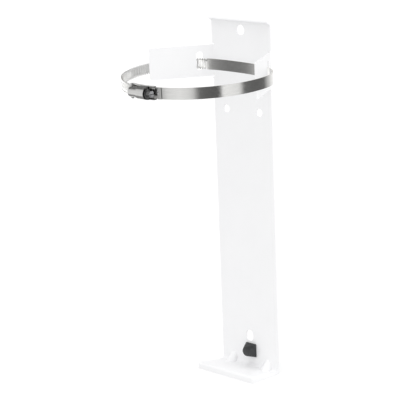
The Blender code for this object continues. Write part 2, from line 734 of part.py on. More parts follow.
def build_housing(material, frame):
    """Arched tunnel over the worm, a block behind the screw's head and two legs on the pin."""
    axis = -screw_axis_y()
    inner = THREAD_RADIUS + 2 * GAP
    outer = inner + TUNNEL_WALL
    foot_level = band_outside() + GAP
    pin_x, pin_y = pin_centre()
    wide = 2 * outer + 2 * TUNNEL_WALL
    end = BLOCK_START + TUNNEL_WALL

    lobe = arc((pin_x, pin_y), EAR_RADIUS, math.pi / 2, 3 * math.pi / 2)
    leg = [(TUNNEL_START, -foot_level)] + lobe + [(TUNNEL_START, -axis), (TUNNEL_START, -axis - wide)]
    leg += [(end, -axis - wide), (end, -foot_level)]
    housing = extruded("swivel_housing", [leg], wide, Matrix.Identity(4))
    low = foot_level - wide
    arch = arc((0, axis), outer, 0, math.pi) + [(-outer, low), (outer, low)]
    reach = end - pin_x + 4 * EAR_RADIUS
    boolean(housing, extruded("arch", [arch], reach, across_view(end + TUNNEL_WALL - reach / 2)), "INTERSECT")

    floor = band_outside() + CHEEK_RISE + GAP
    half = BAND_WIDTH / 2 + GAP + BUCKLE_SHEET
    rise = axis + outer + GAP - half
    top = arc((0, rise), half, math.radians(35), math.radians(145))
    block = [(half, floor)] + top + [(-half, floor)]
    size = BLOCK_END - BLOCK_START
    boolean(housing, extruded("block", [block], size, across_view((BLOCK_START + BLOCK_END) / 2)), "UNION")

    start = TUNNEL_START + TUNNEL_WALL
    cavity = arc((0, axis), inner, 0, math.pi) + [(-inner, low), (inner, low)]
    length = BLOCK_START - start
    boolean(housing, extruded("cavity", [cavity], length, across_view(start + length / 2)), "DIFFERENCE")
    between = box("between", (pin_x - 4 * EAR_RADIUS, -2 * axis, -inner), (TUNNEL_START, 0, inner))
    boolean(housing, between, "DIFFERENCE")
    reach = 2 * (BLOCK_END - TUNNEL_START)
    bore = cylinder("bore", SHANK_RADIUS + GAP, reach, Matrix.Translation((0, -axis, 0)) @ along_x(), 28)
    boolean(housing, bore, "DIFFERENCE")
    hole = cylinder("hole", PIN_RADIUS + PIN_GAP, 2 * wide, Matrix.Translation((pin_x, pin_y, 0)), 20)
    boolean(housing, hole, "DIFFERENCE")
    housing.data.transform(frame)
    tidy(housing)
    finish(housing, material)
    return housing


def thread_points(radius_at, start, end):
    """Rings of points along X whose radius follows the turn, which makes a helical thread."""
    per_turn = 16
    step = THREAD_PITCH / per_turn
    count = round((end - start) / step)
    rings = []
    for i in range(count + 1):
        x = start + i * step
        rings.append([(x, radius_at(x, k / per_turn), 2 * math.pi * k / per_turn) for k in range(per_turn)])
    return rings


def build_screw(material, frame):
    """Worm with a pilot, a shank, a flange and a slotted hexagon head, all on one axis."""
    axis_y = screw_axis_y()

    def radius_at(x, share):
        phase = ((x - THREAD_START) / THREAD_PITCH - share) % 1
        crest = 0.5 - 0.5 * math.cos(2 * math.pi * phase)
        ends = min(1, (x - THREAD_START) / THREAD_PITCH * 2, (THREAD_END - x) / THREAD_PITCH * 2)
        return THREAD_CORE + (THREAD_RADIUS - THREAD_CORE) * crest ** 0.7 * max(0, ends)

    rings = thread_points(radius_at, THREAD_START, THREAD_END)
    shape = bmesh.new()
    loops = []
    for ring in rings:
        loops.append([shape.verts.new((x, r * math.cos(a), r * math.sin(a))) for x, r, a in ring])
    for a, b in zip(loops, loops[1:]):
        for k in range(len(a)):
            n = (k + 1) % len(a)
            shape.faces.new((a[k], a[n], b[n], b[k]))
    shape.faces.new(loops[0][::-1])
    shape.faces.new(loops[-1])
    bmesh.ops.recalc_face_normals(shape, faces=shape.faces)
    mesh = bpy.data.meshes.new("worm_screw")
    shape.to_mesh(mesh)
    shape.free()
    screw = add_mesh_object("worm_screw", mesh)

    overlap = THREAD_PITCH / 4
    pilot_start = TUNNEL_START + GAP
    shank_end = HEAD_START_X + overlap
    pilot = cylinder("pilot", SHANK_RADIUS, THREAD_START + overlap - pilot_start,
                     Matrix.Translation(((THREAD_START + overlap + pilot_start) / 2, 0, 0)) @ along_x(), 20)
    shank = cylinder("shank", SHANK_RADIUS, shank_end - THREAD_END + overlap,
                     Matrix.Translation(((shank_end + THREAD_END - overlap) / 2, 0, 0)) @ along_x(), 20)
    flange = cylinder("flange", HEAD_FLANGE_RADIUS, HEAD_FLANGE,
                      Matrix.Translation((HEAD_START_X + HEAD_FLANGE / 2, 0, 0)) @ along_x(), 28)
    hexagon = cylinder("hexagon", HEAD_FLATS / math.sqrt(3), HEAD_LENGTH,
                       Matrix.Translation((HEAD_START_X + HEAD_LENGTH / 2 + HEAD_FLANGE / 2, 0, 0)) @ along_x(), 6)
    for piece in (pilot, shank, flange, hexagon):
        boolean(screw, piece, "UNION")
    bpy.ops.mesh.primitive_cube_add(size=1)
    slot = bpy.context.object
    end = HEAD_START_X + HEAD_LENGTH + HEAD_FLANGE / 2
    slot.data.transform(Matrix.Translation((end, 0, 0))
                        @ Matrix.Diagonal((DRIVE_SLOT * 3, HEAD_FLATS * 2, DRIVE_SLOT, 1)))
    boolean(screw, slot, "DIFFERENCE")
    screw.data.transform(frame @ Matrix.Translation((0, axis_y, 0)))
    tidy(screw)
    finish(screw, material)
    return screw


def build_pin(material, frame):
    x, y = pin_centre()
    half = BAND_WIDTH / 2 + GAP + BUCKLE_SHEET + GAP
    place = Matrix.Translation((x, y, 0))
    pin = cylinder("pivot_pin", PIN_RADIUS, 2 * half + PIN_HEAD, place, 20)
    for side in (1, -1):
        head = cylinder("head", PIN_RADIUS + 2 * PIN_GAP, PIN_HEAD,
                        place @ Matrix.Translation((0, 0, side * (half + PIN_HEAD / 2))), 20)
        boolean(pin, head, "UNION")
    pin.data.transform(frame)
    tidy(pin)
    finish(pin, material)
    return pin


def main():
    clear_scene()
    white = paint("white_coat", (0.86, 0.87, 0.88), 0.38, 0.0)
    stainless = paint("stainless", (0.62, 0.61, 0.58), 0.28, 1.0)
    plated = paint("zinc_plate", (0.50, 0.50, 0.49), 0.34, 1.0)
    rubber = paint("rubber", (0.035, 0.035, 0.038), 0.55, 0.0)
    frame = loop_frame()
    build_bracket(white)
    build_bumper(rubber)
    build_band(stainless, frame)
    build_saddle(stainless, frame)
    build_housing(plated, frame)
    build_screw(plated, frame)
    build_pin(plated, frame)


main()
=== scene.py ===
# %% [markdown]
# # A wall bracket for a gas cylinder
#
# The real object is a folded steel sheet with a white powder coat. It carries a stainless strap
# that is tightened round the cylinder by a small worm screw. The shape comes from a CAD model, which
# is loaded here as a fixed frame. This lesson dresses it: each piece gets its fine edges, its finish
# and the light that shows them. All lengths are metres, and the wall is the plane Y = 0.

# %% Load the CAD model
import math

import bmesh
import bpy
import numpy as np
from mathutils import Matrix, Vector


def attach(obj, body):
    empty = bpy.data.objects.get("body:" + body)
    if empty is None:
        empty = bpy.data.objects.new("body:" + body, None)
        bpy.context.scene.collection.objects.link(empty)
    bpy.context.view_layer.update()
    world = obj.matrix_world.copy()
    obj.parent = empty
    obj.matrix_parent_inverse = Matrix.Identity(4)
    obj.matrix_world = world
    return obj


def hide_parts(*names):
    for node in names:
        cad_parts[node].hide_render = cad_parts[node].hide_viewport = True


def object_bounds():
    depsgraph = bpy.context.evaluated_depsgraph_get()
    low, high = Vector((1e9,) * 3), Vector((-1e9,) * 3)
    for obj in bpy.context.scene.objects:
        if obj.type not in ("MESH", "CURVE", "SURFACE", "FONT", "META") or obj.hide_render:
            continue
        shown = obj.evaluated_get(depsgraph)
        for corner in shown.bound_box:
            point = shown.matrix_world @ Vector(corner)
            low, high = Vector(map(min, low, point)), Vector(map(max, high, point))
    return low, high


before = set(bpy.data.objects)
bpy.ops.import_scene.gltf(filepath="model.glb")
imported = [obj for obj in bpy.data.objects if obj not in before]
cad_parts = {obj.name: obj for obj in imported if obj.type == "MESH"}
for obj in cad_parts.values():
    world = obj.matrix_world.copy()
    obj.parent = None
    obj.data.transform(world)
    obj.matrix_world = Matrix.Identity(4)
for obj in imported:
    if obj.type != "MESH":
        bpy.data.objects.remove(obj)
cad_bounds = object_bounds()
print("CAD nodes:", ", ".join(sorted(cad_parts)))

# %% [markdown]
# ## The camera
#
# The picture was taken with a long lens, from the front right and a little above. The angles and the
# distance were found by matching the corners of the plate, the holes and the shelf. A camera can be
# placed by hand, but a placing by angles is easier to repeat: we turn three directions out of the
# azimuth, the elevation and the roll, and step back from a point in the middle of the plate. The
# picture's centre isn't that point, so the camera is then moved sideways, without any lens shift.

# %% Camera
AZIMUTH = math.radians(45.79)
ELEVATION = math.radians(13.13)
ROLL = math.radians(2.20)
FOCAL_PIXELS = 1668.77
IMAGE_PIXELS = 400
SENSOR = 36.0
DISTANCE = 2.1620
CLIP = (0.05, 50)
AIM = Vector((0.0, -0.002, -0.030))
AIM_PIXEL = (246.18, 219.48)


def camera_axes():
    """Right, up and back directions of the camera."""
    back = Vector((math.sin(AZIMUTH) * math.cos(ELEVATION),
                   -math.cos(AZIMUTH) * math.cos(ELEVATION), math.sin(ELEVATION)))
    level = Vector((math.cos(AZIMUTH), math.sin(AZIMUTH), 0))
    upright = back.cross(level)
    right = level * math.cos(ROLL) - upright * math.sin(ROLL)
    up = level * math.sin(ROLL) + upright * math.cos(ROLL)
    return right, up, back


right, up, back = camera_axes()
metres_per_pixel = DISTANCE / FOCAL_PIXELS
aside = (AIM_PIXEL[0] - IMAGE_PIXELS / 2) * metres_per_pixel
down = (AIM_PIXEL[1] - IMAGE_PIXELS / 2) * metres_per_pixel
bpy.ops.object.camera_add()
camera = bpy.context.object
camera.name = "camera"
camera.matrix_world = (Matrix.Translation(AIM + back * DISTANCE - right * aside + up * down)
                       @ Matrix((right, up, back)).transposed().to_4x4())
camera.data.sensor_width = SENSOR
camera.data.lens = SENSOR * FOCAL_PIXELS / IMAGE_PIXELS
camera.data.clip_start, camera.data.clip_end = CLIP
bpy.context.scene.camera = camera
print(f"camera at {tuple(round(c, 3) for c in camera.matrix_world.translation)}, "
      f"lens {camera.data.lens:.1f} mm")

# %% [markdown]
# ## The studio
#
# White metal on a white ground shows only by small steps of grey, and polished steel shows only what
# it mirrors. So the room does two jobs. Matt surfaces see an even white room. Mirrors see upright
# dark and bright bands, as between the soft boxes of a studio, and these make the stripes along the
# strap. The bands end a little above and below the eye: ceiling and floor are dark to a mirror, which
# draws a dark line along each rounded edge. The Light Path node tells the world which kind of ray is
# asking. The floor itself is hidden from both, or it would cast its own white up into the metal.

# %% Floor
FLOOR_SIZE = 30
FLOOR_DROP = 0.0002  # keeps the floor clear of the foot's lowest faces
FLOOR_HEIGHT = cad_bounds[0].z - FLOOR_DROP
FLOOR_GREY = 0.95
bpy.ops.object.select_all(action="DESELECT")
bpy.ops.mesh.primitive_plane_add(size=FLOOR_SIZE, location=(0, 0, FLOOR_HEIGHT))
floor = bpy.context.object
floor.name = "floor"
floor.visible_glossy = False
floor.visible_diffuse = False
floor_paint = bpy.data.materials.new("floor_paint")
floor_paint.use_nodes = True
floor_shader = floor_paint.node_tree.nodes["Principled BSDF"]
floor_shader.inputs["Base Color"].default_value = (FLOOR_GREY, FLOOR_GREY, FLOOR_GREY, 1)
floor_shader.inputs["Roughness"].default_value = 0.9
floor_shader.inputs["Specular IOR Level"].default_value = 0.1
floor.data.materials.append(floor_paint)
print("floor at", round(FLOOR_HEIGHT, 4))

# %% World
ROOM_LIGHT = 0.95
# Bands mirrored by upright surfaces: azimuth in degrees from -Y towards +X, and brightness.
BANDS = [
    (-180, 1.10), (-130, 1.30), (-121, 1.75), (-102, 1.75), (-95, 1.50), (-83, 1.30), (-74, 0.75),
    (-57, 0.55), (-51, 0.32), (-44, 0.22), (-36, 0.27), (-19, 0.44), (-12, 0.68), (-6, 0.95),
    (14, 1.08), (33, 0.90), (43, 0.18), (74, 0.12), (78, 1.20), (104, 1.05), (112, 0.18),
    (135, 0.16), (148, 0.18), (158, 0.60), (180, 1.10),
]
# Where the bands show: 0 is straight down, 0.5 is level and 1 is straight up. Elsewhere a mirror
# sees the ceiling's grey.
BELT = [(0.16, 0.0), (0.27, 1.0), (0.58, 1.0), (0.70, 0.0)]
CEILING = 0.20


def link_nodes(tree, *pairs):
    """Links each output socket to its input socket."""
    for source, target in pairs:
        tree.links.new(source, target)


def add_math(tree, operation, *values):
    """A Math node whose inputs are numbers or other nodes' sockets."""
    node = tree.nodes.new("ShaderNodeMath")
    node.operation = operation
    for socket, value in zip(node.inputs, values):
        if isinstance(value, (int, float)):
            socket.default_value = value
        else:
            tree.links.new(value, socket)
    return node.outputs[0]


def fill_ramp(ramp, stops):
    """Sets the stops of a colour ramp: (position, grey or colour)."""
    while len(ramp.elements) < len(stops):
        ramp.elements.new(1.0)
    for element, (position, value) in zip(ramp.elements, stops):
        element.position = position
        colour = (value, value, value) if isinstance(value, (int, float)) else value
        element.color = (*colour, 1)


world = bpy.data.worlds.new("studio")
bpy.context.scene.world = world
world.use_nodes = True
room = world.node_tree
room.nodes.clear()
ray = room.nodes.new("ShaderNodeTexCoord")
parts = room.nodes.new("ShaderNodeSeparateXYZ")
link_nodes(room, (ray.outputs["Generated"], parts.inputs[0]))
turned_back = add_math(room, "MULTIPLY", parts.outputs["Y"], -1.0)
around = add_math(room, "ARCTAN2", parts.outputs["X"], turned_back)
share = add_math(room, "MULTIPLY_ADD", around, 1 / (2 * math.pi), 0.5)
bands = room.nodes.new("ShaderNodeValToRGB")
fill_ramp(bands.color_ramp, [((a + 180) / 360, grey) for a, grey in BANDS])
link_nodes(room, (share, bands.inputs["Fac"]))
white = room.nodes.new("ShaderNodeBackground")
white.inputs["Color"].default_value = (1, 1, 1, 1)
white.inputs["Strength"].default_value = ROOM_LIGHT
height = room.nodes.new("ShaderNodeValToRGB")
fill_ramp(height.color_ramp, BELT)
up_share = add_math(room, "MULTIPLY_ADD", parts.outputs["Z"], 0.5, 0.5)
link_nodes(room, (up_share, height.inputs["Fac"]))
belt = room.nodes.new("ShaderNodeMix")
belt.data_type = "RGBA"
belt.inputs[6].default_value = (CEILING, CEILING, CEILING, 1)
mirrored = room.nodes.new("ShaderNodeBackground")
link_nodes(room, (height.outputs["Color"], belt.inputs["Factor"]),
           (bands.outputs["Color"], belt.inputs[7]), (belt.outputs[2], mirrored.inputs["Color"]))
path = room.nodes.new("ShaderNodeLightPath")
choose = room.nodes.new("ShaderNodeMixShader")
result = room.nodes.new("ShaderNodeOutputWorld")
link_nodes(room, (path.outputs["Is Glossy Ray"], choose.inputs[0]),
           (white.outputs[0], choose.inputs[1]), (mirrored.outputs[0], choose.inputs[2]),
           (choose.outputs[0], result.inputs["Surface"]))
bpy.context.scene.view_settings.view_transform = "Standard"
print("world with", len(BANDS), "stops")

# %% [markdown]
# Three soft lights shape the white sheet. The one from the right lifts both wings above the plate,
# because their faces turn towards it. The one from above lifts the shelf. Both are sun lamps with a
# wide angle, so the shadows that they throw have no hard edge. The third is a square card low in
# front, which makes the lower plate a little lighter than its top. A small upright card stands close
# in front of the buckle, and only mirrors see it: it makes the bright line along the tunnel.

# %% Soft lights
SUN_ANGLE = math.radians(60)
SUN_DISTANCE = 3
SIDE_LIGHT = 0.46
SIDE_DIRECTION = Vector((0.83, 0.28, 0.45))
TOP_LIGHT = 0.50
TOP_DIRECTION = Vector((0.10, -0.25, 0.96))
FRONT_LIGHT = 0.16
FRONT_SIZE = (0.30, 0.30)
FRONT_PLACE = Vector((0.10, -0.50, -0.12))
FRONT_DIRECTION = Vector((0, -1, 0))
CARD_LIGHT = 0.032
CARD_SIZE = (0.07, 0.20)
CARD_DIRECTION = Vector((-0.717, -0.697, 0.12))
CARD_DISTANCE = 0.12
BUCKLE = Vector((-0.008, -0.180, 0.162))


def aim_lamp(lamp, name, direction, energy):
    """Names a lamp, sets its energy and turns it to shine against a direction."""
    lamp.name = name
    lamp.data.energy = energy
    lamp.rotation_mode = "QUATERNION"
    lamp.rotation_quaternion = direction.to_track_quat("Z", "Y")


def add_sun(name, direction, energy):
    """A wide sun lamp that stands in a direction. Matt surfaces see it and mirrors don't."""
    bpy.ops.object.light_add(type="SUN", location=direction * SUN_DISTANCE)
    lamp = bpy.context.object
    lamp.data.angle = SUN_ANGLE
    aim_lamp(lamp, name, direction, energy)
    lamp.visible_glossy = False


def add_card(name, location, direction, size, energy):
    """A glowing rectangle that stands in a direction and faces back, unseen by the camera."""
    bpy.ops.object.light_add(type="AREA", location=location)
    lamp = bpy.context.object
    lamp.data.shape = "RECTANGLE"
    lamp.data.size, lamp.data.size_y = size
    aim_lamp(lamp, name, direction, energy)
    lamp.visible_camera = False
    return lamp


add_sun("side_light", SIDE_DIRECTION, SIDE_LIGHT)
add_sun("top_light", TOP_DIRECTION, TOP_LIGHT)
front = add_card("front_light", FRONT_PLACE, FRONT_DIRECTION, FRONT_SIZE, FRONT_LIGHT)
front.visible_glossy = False
card_place = BUCKLE + CARD_DIRECTION * CARD_DISTANCE
card = add_card("buckle_card", card_place, CARD_DIRECTION, CARD_SIZE, CARD_LIGHT)
card.visible_diffuse = False
print("lights", SIDE_LIGHT, TOP_LIGHT, FRONT_LIGHT, CARD_LIGHT)

# %% [markdown]
# ## Helpers for the modelling
#
# Operators act on everything that is selected, and the CAD nodes arrive selected. So each piece
# starts with nothing selected, and each helper leaves only its own piece selected and active.

# %% Selecting, merging and finishing
MERGE_DISTANCE = 0.000002
FLAT_TURN = math.radians(0.6)


def clear_selection():
    """Leaves edit mode and leaves nothing selected."""
    if bpy.context.mode != "OBJECT":
        bpy.ops.object.mode_set(mode="OBJECT")
    bpy.ops.object.select_all(action="DESELECT")


def pick(item):
    """Leaves only this object selected and active."""
    clear_selection()
    item.select_set(True)
    bpy.context.view_layer.objects.active = item
    return item


def in_edit(item, *steps):
    """Selects the whole mesh and runs each step on it in edit mode."""
    pick(item)
    bpy.ops.object.mode_set(mode="EDIT")
    for step in steps:
        bpy.ops.mesh.select_all(action="SELECT")
        step()
    bpy.ops.object.mode_set(mode="OBJECT")


def add_modifier(item, kind, **values):
    """Adds a modifier, sets its values and applies it."""
    pick(item)
    modifier = item.modifiers.new(kind.lower(), kind)
    for name, value in values.items():
        setattr(modifier, name, value)
    bpy.ops.object.modifier_apply(modifier=modifier.name)


def round_edges(item, width, segments=2, angle=35):
    """Bevels the sharp edges, then lets the flat faces rule the shading beside them."""
    add_modifier(item, "BEVEL", width=width, segments=segments, limit_method="ANGLE",
                 angle_limit=math.radians(angle), use_clamp_overlap=True, harden_normals=False)
    bpy.ops.object.shade_smooth_by_angle(angle=math.radians(angle))
    add_modifier(item, "WEIGHTED_NORMAL", mode="FACE_AREA", weight=80, keep_sharp=True)


def settle(item, name):
    """Names a finished piece and moves its place into its mesh."""
    pick(item)
    bpy.ops.object.transform_apply(location=True, rotation=True, scale=True)
    item.name = name
    item.data.name = name
    return item


def copy_node(node, name):
    """A merged copy of a CAD node, with the triangles of each flat face joined."""
    clear_selection()
    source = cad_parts[node]
    item = bpy.data.objects.new(name, source.data.copy())
    bpy.context.scene.collection.objects.link(item)
    item.matrix_world = source.matrix_world.copy()
    item.data.materials.clear()
    in_edit(item,
            lambda: bpy.ops.mesh.remove_doubles(threshold=MERGE_DISTANCE),
            lambda: bpy.ops.mesh.dissolve_limited(angle_limit=FLAT_TURN))
    return item


def report(item):
    """Prints a piece's faces and size."""
    print(f"{item.name}: {len(item.data.polygons)} faces, "
          f"{'x'.join(f'{1000 * d:.1f}' for d in item.dimensions)} mm")


# %% [markdown]
# ## Shared effects
#
# Two effects are node groups, so that a finish only has to choose their scale. The first, fine grain,
# is in nearly every finish: soft spots at a chosen size, which give a bump height and a mask. The
# second is brushing: noise that is stretched along one direction, as left by a finishing belt.

# %% Grain group
def new_group(name, inputs, outputs):
    """An empty shader node group with named float, vector or colour sockets."""
    group = bpy.data.node_groups.new(name, "ShaderNodeTree")
    for title, kind, value in inputs:
        socket = group.interface.new_socket(name=title, in_out="INPUT", socket_type=kind)
        if value is not None:
            socket.default_value = value
    for title, kind in outputs:
        group.interface.new_socket(name=title, in_out="OUTPUT", socket_type=kind)
    return group, group.nodes.new("NodeGroupInput"), group.nodes.new("NodeGroupOutput")


def add_noise(tree, vector, scale, detail, roughness):
    """A noise texture; scale is a number or a socket."""
    noise = tree.nodes.new("ShaderNodeTexNoise")
    tree.links.new(vector, noise.inputs["Vector"])
    if isinstance(scale, (int, float)):
        noise.inputs["Scale"].default_value = scale
    else:
        tree.links.new(scale, noise.inputs["Scale"])
    noise.inputs["Detail"].default_value = detail
    noise.inputs["Roughness"].default_value = roughness
    return noise.outputs["Fac"]


def add_range(tree, value, low, high, to_low, to_high):
    """A Map Range node from low..high to to_low..to_high."""
    node = tree.nodes.new("ShaderNodeMapRange")
    tree.links.new(value, node.inputs["Value"])
    for socket, number in zip(node.inputs[1:5], (low, high, to_low, to_high)):
        if isinstance(number, (int, float)):
            socket.default_value = number
        else:
            tree.links.new(number, socket)
    return node.outputs["Result"]


grain, grain_in, grain_out = new_group(
    "fine_grain",
    [("Vector", "NodeSocketVector", None), ("Scale", "NodeSocketFloat", 700.0)],
    [("Height", "NodeSocketFloat"), ("Clouds", "NodeSocketFloat")])
fine = add_noise(grain, grain_in.outputs["Vector"], grain_in.outputs["Scale"], 2.0, 0.5)
broad_scale = add_math(grain, "MULTIPLY", grain_in.outputs["Scale"], 0.035)
broad = add_noise(grain, grain_in.outputs["Vector"], broad_scale, 3.0, 0.55)
link_nodes(grain, (fine, grain_out.inputs["Height"]),
           (add_range(grain, broad, 0.3, 0.7, 0.0, 1.0), grain_out.inputs["Clouds"]))
print("group", grain.name)

# %% Brushing group
brushing, brush_in, brush_out = new_group(
    "brushing",
    [("Vector", "NodeSocketVector", None), ("Scale", "NodeSocketFloat", 900.0),
     ("Stretch", "NodeSocketFloat", 0.02)],
    [("Lines", "NodeSocketFloat"), ("Patches", "NodeSocketFloat")])
split = brushing.nodes.new("ShaderNodeSeparateXYZ")
link_nodes(brushing, (brush_in.outputs["Vector"], split.inputs[0]))
slow = add_math(brushing, "MULTIPLY", split.outputs["X"], brush_in.outputs["Stretch"])
joined = brushing.nodes.new("ShaderNodeCombineXYZ")
link_nodes(brushing, (slow, joined.inputs["X"]), (split.outputs["Y"], joined.inputs["Y"]),
           (split.outputs["Z"], joined.inputs["Z"]))
lines = add_noise(brushing, joined.outputs[0], brush_in.outputs["Scale"], 4.0, 0.7)
patch_scale = add_math(brushing, "MULTIPLY", brush_in.outputs["Scale"], 0.16)
patches = add_noise(brushing, brush_in.outputs["Vector"], patch_scale, 3.0, 0.6)
link_nodes(brushing, (add_range(brushing, lines, 0.25, 0.75, 0.0, 1.0), brush_out.inputs["Lines"]),
           (add_range(brushing, patches, 0.3, 0.7, 0.0, 1.0), brush_out.inputs["Patches"]))
print("group", brushing.name)


# %% Material helpers
def new_material(name, colour, roughness, metallic=0.0):
    """A node material and its Principled shader."""
    material = bpy.data.materials.new(name)
    material.use_nodes = True
    shader = material.node_tree.nodes["Principled BSDF"]
    shader.inputs["Base Color"].default_value = (*colour, 1)
    shader.inputs["Roughness"].default_value = roughness
    shader.inputs["Metallic"].default_value = metallic
    return material, material.node_tree, shader


def use_group(tree, group, **values):
    """Places a node group in a material; values are numbers or sockets."""
    node = tree.nodes.new("ShaderNodeGroup")
    node.node_tree = group
    for name, value in values.items():
        if isinstance(value, (int, float)):
            node.inputs[name].default_value = value
        else:
            tree.links.new(value, node.inputs[name])
    return node


def object_place(tree):
    """Object coordinates, which move with the piece."""
    return tree.nodes.new("ShaderNodeTexCoord").outputs["Object"]


def blend_colours(tree, mask, first, second):
    """A Mix node between two colours by a mask."""
    mix = tree.nodes.new("ShaderNodeMix")
    mix.data_type = "RGBA"
    tree.links.new(mask, mix.inputs["Factor"])
    for socket, colour in ((mix.inputs[6], first), (mix.inputs[7], second)):
        if isinstance(colour, tuple):
            socket.default_value = (*colour, 1)
        else:
            tree.links.new(colour, socket)
    return mix.outputs[2]


def add_bump(tree, shader, height, strength, distance):
    """Bends a shader's normals by a height."""
    bump = tree.nodes.new("ShaderNodeBump")
    bump.inputs["Strength"].default_value = strength
    bump.inputs["Distance"].default_value = distance
    link_nodes(tree, (height, bump.inputs["Height"]), (bump.outputs[0], shader.inputs["Normal"]))


# %% [markdown]
# ## The bracket
#
# The bracket is laser-cut and folded sheet, 2 mm thick, under a satin white powder coat. The CAD
# node already has every bend, hole and rib, so we don't model it again. But a coated sheet never has
# a knife edge: the powder flows round it and leaves a radius of some tenths of a millimetre. A merged
# copy of the node gets that radius from a Bevel modifier, and it replaces the node.

# %% Powder coat
coat, tree, shader = new_material("powder_coat", (0.90, 0.90, 0.91), 0.42)
shader.inputs["Specular IOR Level"].default_value = 0.1
speckle = use_group(tree, grain, Vector=object_place(tree), Scale=620.0)
tint = blend_colours(tree, speckle.outputs["Clouds"], (0.896, 0.897, 0.905), (0.912, 0.913, 0.920))
satin = add_range(tree, speckle.outputs["Clouds"], 0, 1, 0.38, 0.47)
link_nodes(tree, (tint, shader.inputs["Base Color"]), (satin, shader.inputs["Roughness"]))
add_bump(tree, shader, speckle.outputs["Height"], 0.25, 0.00006)
print("material", coat.name)

# %% Bracket
COAT_EDGE = 0.00035
bracket = copy_node("bracket", "bracket_sheet")
round_edges(bracket, COAT_EDGE)
bracket.data.materials.append(coat)
settle(bracket, "bracket_sheet")
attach(bracket, "bracket")
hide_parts("bracket")
report(bracket)

# %% [markdown]
# ## The strap
#
# The strap is stainless strip, 14.3 mm wide. The worm screw grips slanted slots, which only the end
# that is drawn through the buckle has. Two ways come to mind: bend a solid and cut the slots, or punch
# the flat strip first and bend it after. The maker punches first, and so do we, because one slot can
# then be modelled once and repeated by an Array modifier. A Curve modifier bends the strip along its
# path, Solidify gives it its thickness, and a small bevel rounds the cut edges.
#
# The path is a half circle in front and a flattened curve behind. The strip runs once round and over
# its own start, so the path is also a spiral: it gains one thickness and a small gap on each turn.

# %% Path of the strap
BAND_WIDTH = 0.0143
BAND_THICKNESS = 0.0007
LAYER_GAP = 0.0003
LOOP_RADIUS = 0.0970
LOOP_REAR = 0.0666
LOOP_SQUARENESS = 2.6
BAND_START = math.radians(-12)
BAND_END = math.radians(17)
LOOP_CENTRE = Vector((0, -0.0757, 0.1670))
LOOP_DROOP = math.radians(2.9)
LOOP_LEAN = math.radians(0.95)
PATH_POINTS = 1601


def loop_point(turn):
    """Middle of the loop at an angle from the front, right positive."""
    turn = (turn + math.pi) % (2 * math.pi) - math.pi
    if abs(turn) <= math.pi / 2:
        return np.array((math.sin(turn), -math.cos(turn))) * LOOP_RADIUS
    rise = abs(turn) - math.pi / 2
    power = 2 / LOOP_SQUARENESS
    return np.array((math.copysign(1, turn) * LOOP_RADIUS * math.cos(rise) ** power,
                     LOOP_REAR * math.sin(rise) ** power))


def strap_path():
    """Points of the band's middle from its start under the buckle to its tail, and the length."""
    turns = np.linspace(BAND_START, BAND_END + 2 * math.pi, PATH_POINTS)
    points = np.array([loop_point(t) for t in turns])
    length = np.concatenate(([0], np.cumsum(np.linalg.norm(np.diff(points, axis=0), axis=1))))
    one_turn = np.interp(BAND_START + 2 * math.pi, turns, length)
    ahead = np.gradient(points, axis=0)
    ahead /= np.linalg.norm(ahead, axis=1)[:, None]
    outward = np.stack((ahead[:, 1], -ahead[:, 0]), 1)
    offset = (BAND_THICKNESS + LAYER_GAP) * (length / one_turn - 0.5)
    return points + outward * offset[:, None], length[-1]


strap_place = (Matrix.Translation(LOOP_CENTRE) @ Matrix.Rotation(LOOP_DROOP, 4, "X")
               @ Matrix.Rotation(LOOP_LEAN, 4, "Y"))
path_points, strap_length = strap_path()
route = bpy.data.curves.new("strap_route", "CURVE")
route.dimensions = "2D"
spline = route.splines.new("POLY")
spline.points.add(len(path_points) - 1)
for point, (x, y) in zip(spline.points, path_points):
    point.co = (x, y, 0, 1)
strap_route = bpy.data.objects.new("strap_route", route)
bpy.context.scene.collection.objects.link(strap_route)
print(f"strap length {strap_length * 1000:.0f} mm")

# %% One slotted cell
SLOT_PITCH = 0.0034
SLOT_WIDTH = 0.0012
SLOT_LENGTH = 0.0080
SLOT_SLANT = math.radians(7)
SLOT_CORNERS = 16
SLOTTED_LENGTH = 0.261
SLOTTED_END = 0.0060
PLAIN_STEP = 0.0012
STRIP_MERGE = 0.00001
# Heights of the edge points on the border between two cells, from the strip's bottom to its top.
LEVELS = [s * BAND_WIDTH / 2 for s in (-1, -0.80, -0.60, -0.22, 0.22, 0.60, 0.80, 1)]


